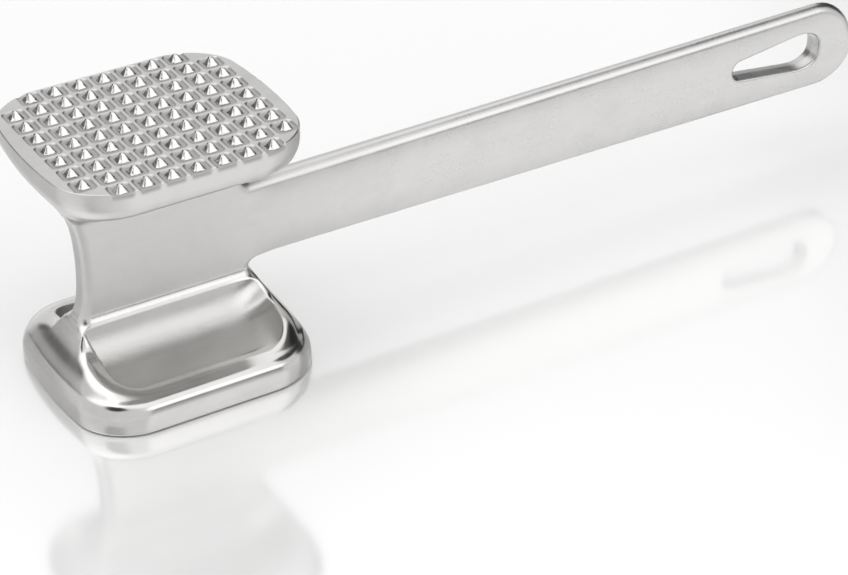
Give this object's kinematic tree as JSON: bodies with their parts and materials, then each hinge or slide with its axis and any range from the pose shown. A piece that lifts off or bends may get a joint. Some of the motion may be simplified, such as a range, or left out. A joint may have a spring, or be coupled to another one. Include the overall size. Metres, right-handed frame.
{
  "type": "meat mallet",
  "caption": "Two-faced cast mallet for flattening and tenderising meat: one smooth face, one face of pyramid teeth, a recessed I-shaped head and a flat handle with a teardrop hanging hole.",
  "frame": {"origin": "centre of the smooth striking face, which is the plane the mallet stands on", "axes": "+X along the handle towards the hanging hole, +Z from the smooth face up to the toothed face, Y across the thickness of the handle"},
  "size_m": [0.2438, 0.0578, 0.0686],
  "materials": {
    "polished_aluminium": "tumble-polished casting, bright",
    "satin_aluminium": "satin-polished casting"
  },
  "bodies": {
    "root": {"smooth_striking_plate": "polished_aluminium", "lower_pan": "polished_aluminium", "web": "satin_aluminium", "upper_pan": "satin_aluminium", "toothed_plate": "satin_aluminium", "teeth": "polished_aluminium", "handle_blade": "satin_aluminium", "hanging_eye": "satin_aluminium"}
  },
  "joints": []
}
